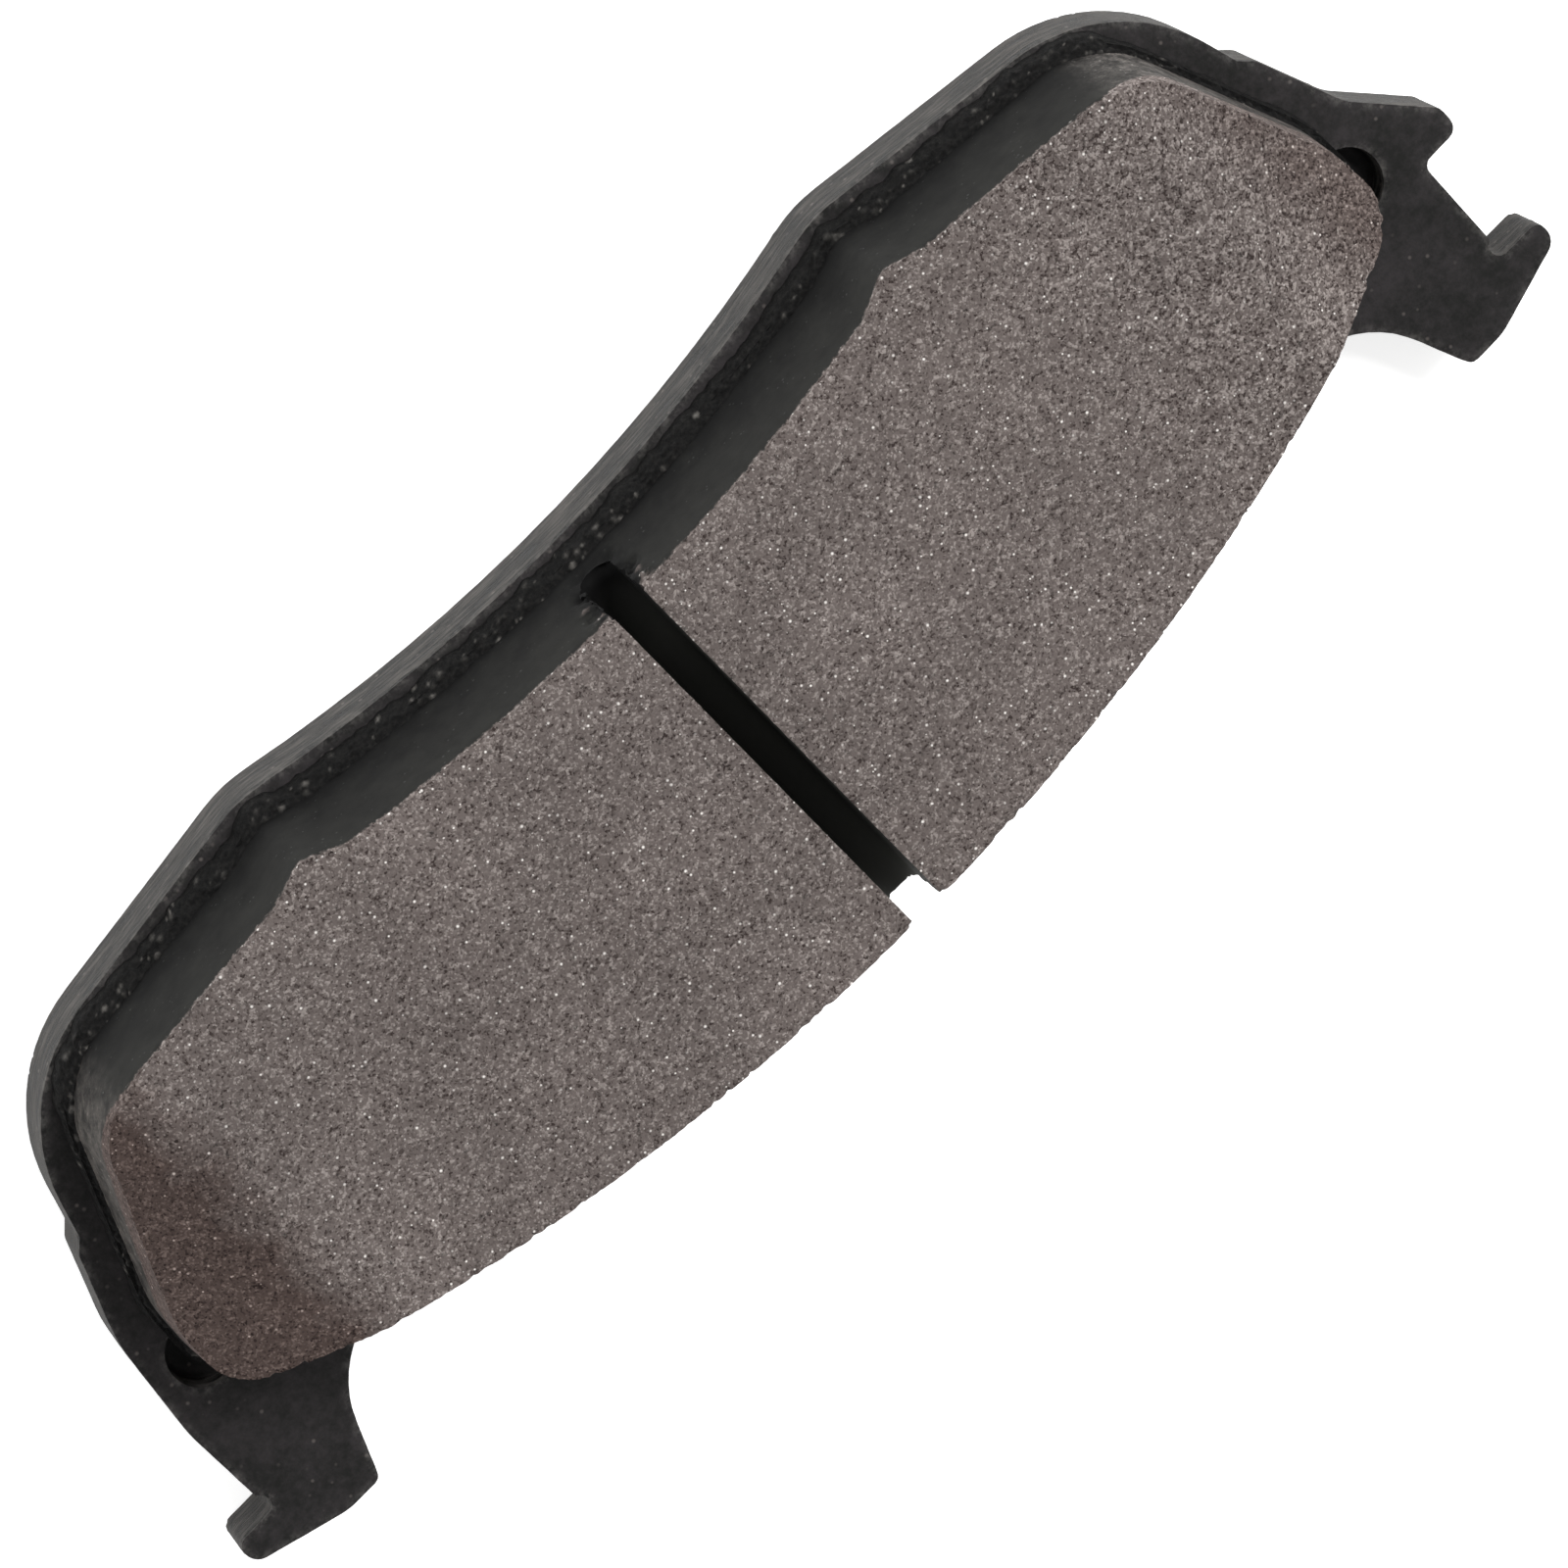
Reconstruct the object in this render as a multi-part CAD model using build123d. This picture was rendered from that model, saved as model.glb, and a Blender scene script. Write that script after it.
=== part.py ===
# Disc brake pad: a stamped steel backing plate with hooked ears, a moulded friction block on an
# underlayer, and a rubber-coated steel shim glued to the back.
# Millimetres. The pad lies on its back: z = 0 is the shim's outer face and +Z points to the disc.
# x = 0 is the line of symmetry, and +Y points to the outside of the disc.
from build123d import *
from math import radians, sqrt, tan
import os

# overall
overall_length = 150.0        # over the tips of the two hooks
half_length = overall_length / 2
plate_thickness = 5.0
lining_height = 11.5          # friction compound above the underlayer
film_thickness = 0.1          # baked bonding adhesive
underlayer_thickness = 1.4

# shim, from the outside in
outer_rubber = 0.1
steel_core = 0.6
inner_rubber = 0.1
shim_glue = 0.1

# body of the backing plate
inner_depth = 21.2            # origin line to the middle of the hollow inner edge
inner_edge_radius = 141.4
hump_offset = 32.0            # humps each side of the hollow
hump_rounding = 12.0
shoulder_angle = 7.75         # rise of the inner edge beyond a hump
shoulder_inset = 13.4         # end of that rise, in from the hook tips
shoulder_rounding = 15.0
outer_reach = 20.8            # origin line to the crown of the outer edge
outer_edge_radius = 183.0

# guide step and side of the body
step_level = -8.5
step_inset = 9.6
step_size = 1.1
step_rounding = 0.4
waist_level = 0.2
waist_inset = 5.5
waist_rounding = 15.0

# ears and hooks
ear_top = 24.95
hook_reach = 4.0              # hook tip beyond the ear's guide edge
hook_depth = 4.95             # thickness of the hook, along Y
hook_gap = 10.6               # between a hook and the horn below it
ear_width = 7.9               # flat top of the ear
ear_root_inset = 13.4         # ear's inner edge where it meets the outer edge
ear_root_rounding = 10.0
ear_edge_level = 10.5         # lower end of the guide edge
ear_top_rounding = 0.9        # at the ear's inner edge
tip_height = 2.35             # upright end of the hook
tip_rounding = 1.5
tip_foot_rounding = 1.0       # at the hook's underside
tip_slope_inset = 8.4         # hook tip to where the ear's top is at full height
tip_slope_rounding = 6.0
relief_radius = 0.9           # undercut in the corner under the hook
relief_offset = 0.3           # its middle, out from the guide edge

# horn, on one end only
horn_reach = 4.1
horn_drop = 2.5
horn_root_level = 0.6
horn_root_inset = 1.3         # in from the guide edge
horn_root_rounding = 4.0
horn_tip_rounding = 1.2
horn_heel_rounding = 1.5      # lower corner of the tip
horn_corner_rounding = 0.8    # inner corner beside the guide edge

# locating pips, pressed from the front
pip_inset = 9.75              # in from the hook tips
pip_offset = half_length - pip_inset
pip_level = 5.9
pip_radius = 3.0
pip_height = 0.8
recess_radius = 3.1
recess_depth = 2.6

# holes that the underlayer flows into
anchor_radius = 5.0
anchor_spacing = 30.0
anchor_count = 4
anchor_level = -1.0

# friction block, at its base
inner_ledge = 1.9             # plate edge to block at the middle of the hollow
lining_inner_radius = 166.0
base_hump_height = 0.5        # how far a hump stands out from the hollow's arc, at the base
face_hump_height = 1.15       # and at the friction face
lining_hump_half_width = 3.7
lining_hump_rounding = 1.5
lining_hump_foot_rounding = 2.0
lining_shoulder_angle = 5.2
lining_shoulder_inset = 17.4
lining_shoulder_rounding = 9.0
lining_side_inset = 9.6
lining_side_height = 7.51     # of the end wall, below the outer corner
lining_side_rounding = 10.0
lining_end_inset = 9.0
lining_corner_rounding = 4.5
outer_ledge = 1.7
lining_outer_radius = 182.0
lining_draft = 4.5            # mould draft of every side, in degrees
underlayer_margin = 0.6       # underlayer beyond the block
shim_margin = 0.5             # shim beyond the block
pip_clearance = 0.3           # shim around each pip

# cuts in the friction face
slot_width = 3.2
slot_depth = 8.6
slot_floor_flat = 0.1         # left between the roundings of a round-nosed cut
chamfer_length = 12.5         # in from the end of the block's foot
chamfer_start = half_length - lining_end_inset - chamfer_length
chamfer_angle = 20.0

# levels, from the back
core_level = outer_rubber
inner_rubber_level = core_level + steel_core
glue_level = inner_rubber_level + inner_rubber
plate_back = glue_level + shim_glue
plate_front = plate_back + plate_thickness
underlayer_level = plate_front + film_thickness
lining_level = underlayer_level + underlayer_thickness
friction_face = lining_level + lining_height

margin = 10.0                 # overshoot of cutting tools


def arc_height(radius, offset):
    """How far an arc has fallen from its crown at this distance from the middle."""
    return radius - sqrt(radius**2 - offset**2)


def rounded_face(right, left, outer_crown, inner_crown):
    """Face with arcs through both crowns, joined by corners given as (x, y, rounding)."""
    first, last = (Vector(*right[0][:2]), Vector(*right[-1][:2]))
    left_first, left_last = (Vector(*left[0][:2]), Vector(*left[-1][:2]))
    edges = Curve() + ThreePointArc(left_first, inner_crown, first)
    edges += Polyline(*[corner[:2] for corner in right])
    edges += ThreePointArc(last, outer_crown, left_last)
    edges += Polyline(*[corner[:2] for corner in left])
    face = make_face(edges)
    for x, y, rounding in right + left:
        if rounding:
            corner = face.vertices().sort_by_distance((x, y, 0))[0]
            face = fillet(corner, rounding)
    return face


def mirrored(corners):
    return [(-x, y, rounding) for x, y, rounding in corners]


def plate_corners(with_horn):
    """One end of the plate, from the hump round to the root of the ear."""
    hump_level = -inner_depth - arc_height(inner_edge_radius, hump_offset)
    shoulder = half_length - shoulder_inset
    shoulder_level = hump_level + tan(radians(shoulder_angle)) * (shoulder - hump_offset)
    step = half_length - step_inset
    guide_edge = half_length - hook_reach
    hook_level = ear_top - hook_depth
    horn_level = hook_level - hook_gap
    ear_root = guide_edge - ear_root_inset
    corners = [
        (hump_offset, hump_level, hump_rounding),
        (shoulder, shoulder_level, shoulder_rounding),
        (step, step_level, step_rounding),
        (step + step_size, step_level + step_size, step_rounding),
    ]
    if with_horn:
        corners += [
            (guide_edge - horn_root_inset, horn_root_level, horn_root_rounding),
            (guide_edge + horn_reach, horn_level - horn_drop, horn_heel_rounding),
            (guide_edge + horn_reach, horn_level, horn_tip_rounding),
            (guide_edge, horn_level, horn_corner_rounding),
        ]
    else:
        corners += [
            (half_length - waist_inset, waist_level, waist_rounding),
            (guide_edge, ear_edge_level, waist_rounding),
        ]
    corners += [
        (guide_edge, hook_level, 0),
        (half_length, hook_level, tip_foot_rounding),
        (half_length, hook_level + tip_height, tip_rounding),
        (half_length - tip_slope_inset, ear_top, tip_slope_rounding),
        (guide_edge - ear_width, ear_top, ear_top_rounding),
        (ear_root, outer_reach - arc_height(outer_edge_radius, ear_root), ear_root_rounding),
    ]
    return corners


def plate_outline():
    right = plate_corners(with_horn=False)
    left = mirrored(plate_corners(with_horn=True))
    face = rounded_face(right, left, (0, outer_reach), (0, -inner_depth))
    relief_x = half_length - hook_reach + relief_offset
    relief_y = ear_top - hook_depth - relief_radius
    for side in (1, -1):
        face -= Pos(side * relief_x, relief_y) * Circle(relief_radius)
    return face


def lining_outline(inset, hump_height):
    """Outline of the block at its base, moved in by inset, or out where it is negative."""
    inner_crown = -inner_depth + inner_ledge + inset
    outer_crown = outer_reach - outer_ledge - inset

    def inner_level(x):
        return inner_crown - arc_height(lining_inner_radius, x)

    foot = hump_offset - lining_hump_half_width
    heel = hump_offset + lining_hump_half_width
    shoulder = half_length - lining_shoulder_inset
    shoulder_level = inner_level(foot) + tan(radians(lining_shoulder_angle)) * (shoulder - heel)
    foot_end = half_length - lining_end_inset
    foot_corner = outer_reach - outer_ledge - arc_height(lining_outer_radius, foot_end)
    end = foot_end - inset
    right = [
        (foot, inner_level(foot), lining_hump_foot_rounding),
        (hump_offset, inner_level(hump_offset) - hump_height, lining_hump_rounding),
        (heel, inner_level(foot) - hump_height / 2, lining_hump_foot_rounding),
        (shoulder - inset / 2, shoulder_level - hump_height / 2, lining_shoulder_rounding),
        (half_length - lining_side_inset - inset, foot_corner - lining_side_height, lining_side_rounding),
        (end, outer_crown - arc_height(lining_outer_radius, end), lining_corner_rounding),
    ]
    return rounded_face(right, mirrored(right), (0, outer_crown), (0, inner_crown))


def on_both_ends(shape, offset_x, level_y):
    return Pos(offset_x, level_y) * shape + Pos(-offset_x, level_y) * shape


def anchor_circles():
    first = -anchor_spacing * (anchor_count - 1) / 2
    places = [Pos(first + anchor_spacing * i, anchor_level) for i in range(anchor_count)]
    return Sketch() + [place * Circle(anchor_radius) for place in places]


def slab(face, level, thickness):
    return Pos(0, 0, level) * extrude(face, thickness)


def make_backing_plate():
    plate = slab(plate_outline() - anchor_circles(), plate_back, plate_thickness)
    recess = on_both_ends(Circle(recess_radius), pip_offset, pip_level)
    plate -= slab(recess, plate_front - recess_depth, recess_depth + margin)
    pips = on_both_ends(Circle(pip_radius), pip_offset, pip_level)
    return plate + slab(pips, plate_back - pip_height, pip_height)


def make_bonding_film():
    recesses = on_both_ends(Circle(recess_radius), pip_offset, pip_level)
    face = lining_outline(-underlayer_margin, base_hump_height) - anchor_circles() - recesses
    return slab(face, plate_front, film_thickness)


def make_underlayer():
    """Sheet of underlayer, with the plugs that it forms in the plate's holes and recesses."""
    face = lining_outline(-underlayer_margin, base_hump_height)
    recesses = on_both_ends(Circle(recess_radius), pip_offset, pip_level)
    sheet = slab(face, underlayer_level, underlayer_thickness)
    plugs = slab(anchor_circles(), plate_back, underlayer_level - plate_back)
    recess_floor = plate_front - recess_depth
    fills = slab(recesses & face, recess_floor, underlayer_level - recess_floor)
    return sheet + plugs + fills


def side_profile(corners):
    """Tool that cuts right across the pad, from a profile in X and Z."""
    profile = Plane.XZ * make_face(Polyline(*corners, close=True))
    return extrude(profile, half_length, both=True)


def slot_tool():
    tool = Pos(0, 0, friction_face - slot_depth / 2 + margin / 2)
    tool *= Box(slot_width, overall_length, slot_depth + margin)
    floor = tool.faces().sort_by(Axis.Z)[0]
    return fillet(floor.edges().filter_by(Axis.Y), (slot_width - slot_floor_flat) / 2)


def chamfer_tool(side):
    far = half_length + margin
    fall = tan(radians(chamfer_angle)) * (far - chamfer_start)
    corners = [
        (side * chamfer_start, friction_face),
        (side * far, friction_face - fall),
        (side * far, friction_face + margin),
        (side * chamfer_start, friction_face + margin),
    ]
    return side_profile(corners)


def make_friction_block():
    inset = lining_height * tan(radians(lining_draft))
    base = Pos(0, 0, lining_level) * lining_outline(0, base_hump_height)
    top = Pos(0, 0, friction_face) * lining_outline(inset, face_hump_height)
    block = loft([base.face(), top.face()], ruled=True)
    block -= slot_tool()
    for side in (1, -1):
        block -= chamfer_tool(side)
    return block


def shim_layer(level, thickness):
    notches = on_both_ends(Circle(pip_radius + pip_clearance), pip_offset, pip_level)
    return slab(lining_outline(-shim_margin, base_hump_height) - notches, level, thickness)


parts = {
    "backing_plate": make_backing_plate(),
    "bonding_film": make_bonding_film(),
    "underlayer": make_underlayer(),
    "friction_block": make_friction_block(),
    "shim_adhesive": shim_layer(glue_level, shim_glue),
    "shim_inner_rubber": shim_layer(inner_rubber_level, inner_rubber),
    "shim_steel_core": shim_layer(core_level, steel_core),
    "shim_outer_rubber": shim_layer(0, outer_rubber),
}

os.makedirs("parts", exist_ok=True)
for name, part in parts.items():
    export_step(part, f"parts/{name}.step")
    print(name, len(part.solids()), "solid", round(part.volume, 1), "mm3")
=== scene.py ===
from math import radians

import bmesh
import bpy
import numpy as np
from mathutils import Matrix, Vector, kdtree, noise


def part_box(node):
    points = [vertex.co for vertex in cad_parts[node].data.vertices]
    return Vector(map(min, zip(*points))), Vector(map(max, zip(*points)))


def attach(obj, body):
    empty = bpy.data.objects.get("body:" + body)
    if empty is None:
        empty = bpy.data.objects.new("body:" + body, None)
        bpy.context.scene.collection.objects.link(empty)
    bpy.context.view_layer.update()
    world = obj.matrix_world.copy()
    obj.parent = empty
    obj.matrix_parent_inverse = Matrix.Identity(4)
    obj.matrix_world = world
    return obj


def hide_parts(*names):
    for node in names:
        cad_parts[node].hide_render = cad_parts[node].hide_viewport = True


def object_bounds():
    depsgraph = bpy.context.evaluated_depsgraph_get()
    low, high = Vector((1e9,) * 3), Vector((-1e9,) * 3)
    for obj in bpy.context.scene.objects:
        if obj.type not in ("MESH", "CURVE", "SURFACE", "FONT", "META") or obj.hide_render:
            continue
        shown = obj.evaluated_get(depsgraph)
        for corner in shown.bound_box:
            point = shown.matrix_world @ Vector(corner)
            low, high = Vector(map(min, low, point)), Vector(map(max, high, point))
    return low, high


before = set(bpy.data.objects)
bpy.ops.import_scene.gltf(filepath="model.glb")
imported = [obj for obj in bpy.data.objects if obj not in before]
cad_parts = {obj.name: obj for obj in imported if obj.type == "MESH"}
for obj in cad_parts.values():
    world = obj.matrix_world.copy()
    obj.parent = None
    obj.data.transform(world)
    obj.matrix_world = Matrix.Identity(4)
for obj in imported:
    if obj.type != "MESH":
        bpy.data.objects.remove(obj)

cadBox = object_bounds()
scene = bpy.context.scene
mm = 0.001                              # sizes below are in millimetres until they go into a mesh
luck = np.random.default_rng(7)
weldGap = 1e-6                          # m, points closer than this are one point
edgeStep = 0.08                         # mm between the points that stand for a sharp edge
snapShare = 0.62                        # of a grid cell: how far a point may move to reach a sharp edge


def toLinear(hexColour):
    # "#rrggbb" as an artist picks it, to the linear colour that shaders take
    steps = [int(hexColour[i:i + 2], 16) / 255 for i in (1, 3, 5)]
    return [s / 12.92 if s <= 0.04045 else ((s + 0.055) / 1.055) ** 2.4 for s in steps] + [1.0]


def addNode(tree, kind, settings=None, inputs=None):
    # one node with its settings; an input may be a value or another node's output
    node = tree.nodes.new(kind)
    for name, value in (settings or {}).items():
        if name == "stops":
            ramp = node.color_ramp
            while len(ramp.elements) < len(value):
                ramp.elements.new(0.5)
            for element, (place, colour) in zip(ramp.elements, value):
                element.position = place
                element.color = toLinear(colour)
        else:
            setattr(node, name, value)
    for name, value in (inputs or {}).items():
        socket = node.inputs[name]
        if isinstance(value, bpy.types.NodeSocket):
            tree.links.new(value, socket)
        else:
            socket.default_value = value
    return node


def newMaterial(name):
    # a fresh material with its shader, and the place on the object in mm
    material = bpy.data.materials.new(name)
    material.use_nodes = True
    tree = material.node_tree
    tree.nodes.clear()
    shader = addNode(tree, "ShaderNodeBsdfPrincipled")
    addNode(tree, "ShaderNodeOutputMaterial", inputs={"Surface": shader.outputs[0]})
    place = addNode(tree, "ShaderNodeTexCoord")
    inMm = addNode(tree, "ShaderNodeVectorMath", {"operation": "SCALE"},
                   {0: place.outputs["Object"], "Scale": 1000.0})
    return material, tree, shader, inMm.outputs[0]


def denseCopy(nodeName, pieceName, cell):
    # the CAD solid on an even grid of small faces, so that wear can be modelled into it
    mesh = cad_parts[nodeName].data.copy()
    welded = bmesh.new()
    welded.from_mesh(mesh)
    bmesh.ops.remove_doubles(welded, verts=welded.verts, dist=weldGap)
    welded.to_mesh(mesh)
    welded.free()
    piece = bpy.data.objects.new(pieceName, mesh)
    scene.collection.objects.link(piece)
    grid = piece.modifiers.new("grid", "REMESH")
    grid.mode = "VOXEL"
    grid.voxel_size = cell * mm
    grid.use_smooth_shade = True
    made = bpy.data.meshes.new_from_object(piece.evaluated_get(bpy.context.evaluated_depsgraph_get()))
    piece.modifiers.clear()
    piece.data = made
    return piece


def readPoints(piece):
    # points and normals, in mm
    mesh = piece.data
    points = np.empty(len(mesh.vertices) * 3)
    mesh.vertices.foreach_get("co", points)
    normals = np.empty(len(mesh.vertices) * 3)
    mesh.vertex_normals.foreach_get("vector", normals)
    return points.reshape(-1, 3) / mm, normals.reshape(-1, 3)


def writePoints(piece, points):
    piece.data.vertices.foreach_set("co", (points * mm).ravel())
    piece.data.update()


def grainField(points, size, shift=0.0, octaves=1):
    # smooth noise from -1 to 1, with lumps about this many mm apart
    scaled = (points / size + shift).tolist()
    if octaves == 1:
        return np.array([noise.noise(p) for p in scaled])
    return np.array([noise.fractal(p, 1.0, 2.0, octaves) for p in scaled])


def pointTree(points):
    # search tree for the nearest of many points
    tree = kdtree.KDTree(len(points))
    for i, point in enumerate(points):
        tree.insert(point, i)
    tree.balance()
    return tree


def sharpEdgeTree(nodeName, wanted, angle=30):
    # search tree of points along the CAD solid's sharp edges that wanted() picks
    solid = bmesh.new()
    solid.from_mesh(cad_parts[nodeName].data)
    bmesh.ops.remove_doubles(solid, verts=solid.verts, dist=weldGap)
    found = []
    for edge in solid.edges:
        if len(edge.link_faces) == 2 and edge.calc_face_angle() > radians(angle):
            a, b = (v.co / mm for v in edge.verts)
            if wanted(a) and wanted(b):
                count = max(1, int((b - a).length / edgeStep))
                found += [a.lerp(b, i / count) for i in range(count)]
    solid.free()
    return pointTree(found)


def distanceTo(tree, points):
    # from each point to the nearest one in the tree, in mm
    return np.array([tree.find(p)[2] for p in points.tolist()])


def snapToEdges(piece, nodeName, cell):
    # grid points beside a sharp CAD edge move onto it, so that the edge stays crisp
    tree = sharpEdgeTree(nodeName, lambda v: True, 40)
    points, _ = readPoints(piece)
    for i, point in enumerate(points.tolist()):
        place, _, away = tree.find(point)
        if away < cell * snapShare:
            points[i] = place
    writePoints(piece, points)


def addMarks(mesh, name, values):
    # one number for each point, for a material to read
    marks = mesh.attributes.new(name, "FLOAT", "POINT")
    marks.data.foreach_set("value", values.astype(np.float32))


def boxInMm(nodeName):
    # lowest and highest corner of a CAD node
    return [np.array(corner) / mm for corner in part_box(nodeName)]


def boundaryLoop(nodeName, level):
    # longest outline of the CAD solid's flat face at this height, as an ordered list in mm
    solid = bmesh.new()
    solid.from_mesh(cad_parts[nodeName].data)
    bmesh.ops.remove_doubles(solid, verts=solid.verts, dist=weldGap)
    flat = {f for f in solid.faces if all(abs(v.co.z / mm - level) < 0.01 for v in f.verts)}
    rim = {}
    for face in flat:
        for edge in face.edges:
            if sum(f in flat for f in edge.link_faces) == 1:
                for v in edge.verts:
                    rim.setdefault(v, []).append(edge)
    loops, left = [], set(rim)
    while left:
        start = left.pop()      # any corner, so the bead's crumbs lie elsewhere on each run
        loop, edge, at = [start], rim[start][0], start
        while True:
            at = edge.other_vert(at)
            if at == start:
                break
            loop.append(at)
            left.discard(at)
            edge = next(e for e in rim[at] if e != edge)
        loops.append(np.array([v.co / mm for v in loop]))
    solid.free()
    longest = max(loops, key=lambda l: np.linalg.norm(np.roll(l, -1, 0) - l, axis=1).sum())
    after = np.roll(longest, -1, 0)
    area = (longest[:, 0] * after[:, 1] - after[:, 0] * longest[:, 1]).sum()
    return longest if area > 0 else longest[::-1]       # always anticlockwise


def evenLoop(loop, spacing):
    # the same closed line with even spacing
    closed = np.vstack([loop, loop[:1]])
    along = np.concatenate([[0], np.linalg.norm(np.diff(closed, axis=0), axis=1).cumsum()])
    wanted = np.linspace(0, along[-1], int(along[-1] / spacing), endpoint=False)
    return np.stack([np.interp(wanted, along, closed[:, i]) for i in range(3)], 1)


# Backing plate, with sizes in mm.
plateLook = {
    "cell": 0.38,               # mesh grid
    "rollWidth": 0.5,           # rounding that the die leaves along the front edge
    "rollDepth": 0.08,
    "rimWidth": 0.8,            # how far in from an edge the coat is rubbed and lightened as a painted highlight
    "specks": 420,              # lumps under the coat
    "speckSize": (0.35, 0.75),
    "speckHeight": 0.07,
    "coat": "#1b1b1a",
    "coatLight": "#2e2b2c",
    "cloudSize": 6.0,           # slow changes of tone
    "mottleSize": 0.7,
    "sheared": "#050505",       # the coat is thin and dusty on the cut edge
    "shearedLight": "#5c5956",
    "dust": "#77706c",
    "dustSpacing": 1.1,
    "dustShare": 0.42,
    "wearAndHighlight": "#8a8783",          # where the coat is rubbed thin, and a painted highlight along the edges
    "scuffSize": 0.9,
    "streaks": (0.3, 0.3, 2.6),             # waves for each mm along x, y and z
    "shearLines": (2.4, 2.4, 0.16),
    "peelSize": 0.9,            # orange peel of the baked powder
    "gritSize": 0.22,
    "bump": 0.09,
    "roughness": 0.5,
    "sharpAngle": 38,           # degrees, shading breaks at edges sharper than this
}


def powderCoat():
    # Black epoxy powder, sprayed and baked on stamped steel: near-black with a soft sheen,
    # fine orange peel and dust specks.
    material, tree, shader, p = newMaterial("powderCoatedSteelStamped")
    look = plateLook
    cloud = addNode(tree, "ShaderNodeTexNoise", None,
                    {"Vector": p, "Scale": 1 / look["cloudSize"], "Detail": 5.0, "Roughness": 0.6})
    mottle = addNode(tree, "ShaderNodeTexNoise", None,
                     {"Vector": p, "Scale": 1 / look["mottleSize"], "Detail": 4.0, "Roughness": 0.7})
    mixedCloud = addNode(tree, "ShaderNodeMix", {"data_type": "FLOAT"},
                         {0: 0.5, 2: cloud.outputs["Fac"], 3: mottle.outputs["Fac"]})
    tone = addNode(tree, "ShaderNodeValToRGB",
                   {"stops": [(0.4, look["coat"]), (0.62, look["coatLight"])]},
                   {"Fac": mixedCloud.outputs[0]})
    # the cut edge has streaks along it, about 0.4 mm apart, where the punch rubbed
    shape = addNode(tree, "ShaderNodeNewGeometry")
    facing = addNode(tree, "ShaderNodeSeparateXYZ", None, {0: shape.outputs["Normal"]})
    upright = addNode(tree, "ShaderNodeMath", {"operation": "ABSOLUTE"}, {0: facing.outputs[2]})
    onWall = addNode(tree, "ShaderNodeMapRange", None,
                     {"Value": upright.outputs[0], "From Min": 0.55, "From Max": 0.25})
    lengthways = addNode(tree, "ShaderNodeVectorMath", {"operation": "MULTIPLY"},
                         {0: p, 1: look["streaks"]})
    rub = addNode(tree, "ShaderNodeTexNoise", None,
                  {"Vector": lengthways.outputs[0], "Scale": 1.0, "Detail": 7.0, "Roughness": 0.68})
    rubTone = addNode(tree, "ShaderNodeValToRGB",
                      {"stops": [(0.42, look["sheared"]), (0.72, look["shearedLight"])]},
                      {"Fac": rub.outputs["Fac"]})
    tone = addNode(tree, "ShaderNodeMix", {"data_type": "RGBA"},
                   {0: onWall.outputs[0], 6: tone.outputs[0], 7: rubTone.outputs[0]})
    # dust and bare pinpricks 0.2 to 0.4 mm wide, in loose groups; real dust is finer,
    # and this is drawn as coarse as it needs to show
    dust = addNode(tree, "ShaderNodeTexVoronoi", None, {"Vector": p, "Scale": 1 / look["dustSpacing"]})
    dustSize = addNode(tree, "ShaderNodeMapRange", None,
                       {"Value": dust.outputs["Distance"], "From Min": 0.07, "From Max": 0.2,
                        "To Min": 1.0, "To Max": 0.0})
    chance = addNode(tree, "ShaderNodeSeparateColor", None, {"Color": dust.outputs["Color"]})
    group = addNode(tree, "ShaderNodeMath", {"operation": "MULTIPLY_ADD"},
                    {0: cloud.outputs["Fac"], 1: 1.2, 2: chance.outputs[0]})
    picked = addNode(tree, "ShaderNodeMapRange", None,
                     {"Value": group.outputs[0], "From Min": 1.1, "From Max": 1.45})
    paleMarks = addNode(tree, "ShaderNodeMath", {"operation": "MULTIPLY"},
                    {0: dustSize.outputs[0], 1: picked.outputs[0]})
    dustShare = addNode(tree, "ShaderNodeMath", {"operation": "MULTIPLY"},
                        {0: paleMarks.outputs[0], 1: look["dustShare"]})
    colour = addNode(tree, "ShaderNodeMix", {"data_type": "RGBA"},
                     {0: dustShare.outputs[0], 6: tone.outputs[2], 7: toLinear(look["dust"])})
    # wear and painted highlight: the coat is lighter along convex edges, partly rubbed thin and partly
    # a painted edge highlight
    edge = addNode(tree, "ShaderNodeAttribute", {"attribute_name": "rim"})
    scuff = addNode(tree, "ShaderNodeTexNoise", None,
                    {"Vector": p, "Scale": 1 / look["scuffSize"], "Detail": 5.0, "Roughness": 0.7})
    rubAndHighlightShare = addNode(tree, "ShaderNodeMapRange", None,
                     {"Value": scuff.outputs["Fac"], "From Min": 0.45, "From Max": 0.7, "To Max": 0.32})
    wearAndHighlight = addNode(tree, "ShaderNodeMath", {"operation": "MULTIPLY"},
                   {0: edge.outputs["Fac"], 1: rubAndHighlightShare.outputs[0]})
    colour = addNode(tree, "ShaderNodeMix", {"data_type": "RGBA"},
                     {0: wearAndHighlight.outputs[0], 6: colour.outputs[2], 7: toLinear(look["wearAndHighlight"])})
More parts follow.
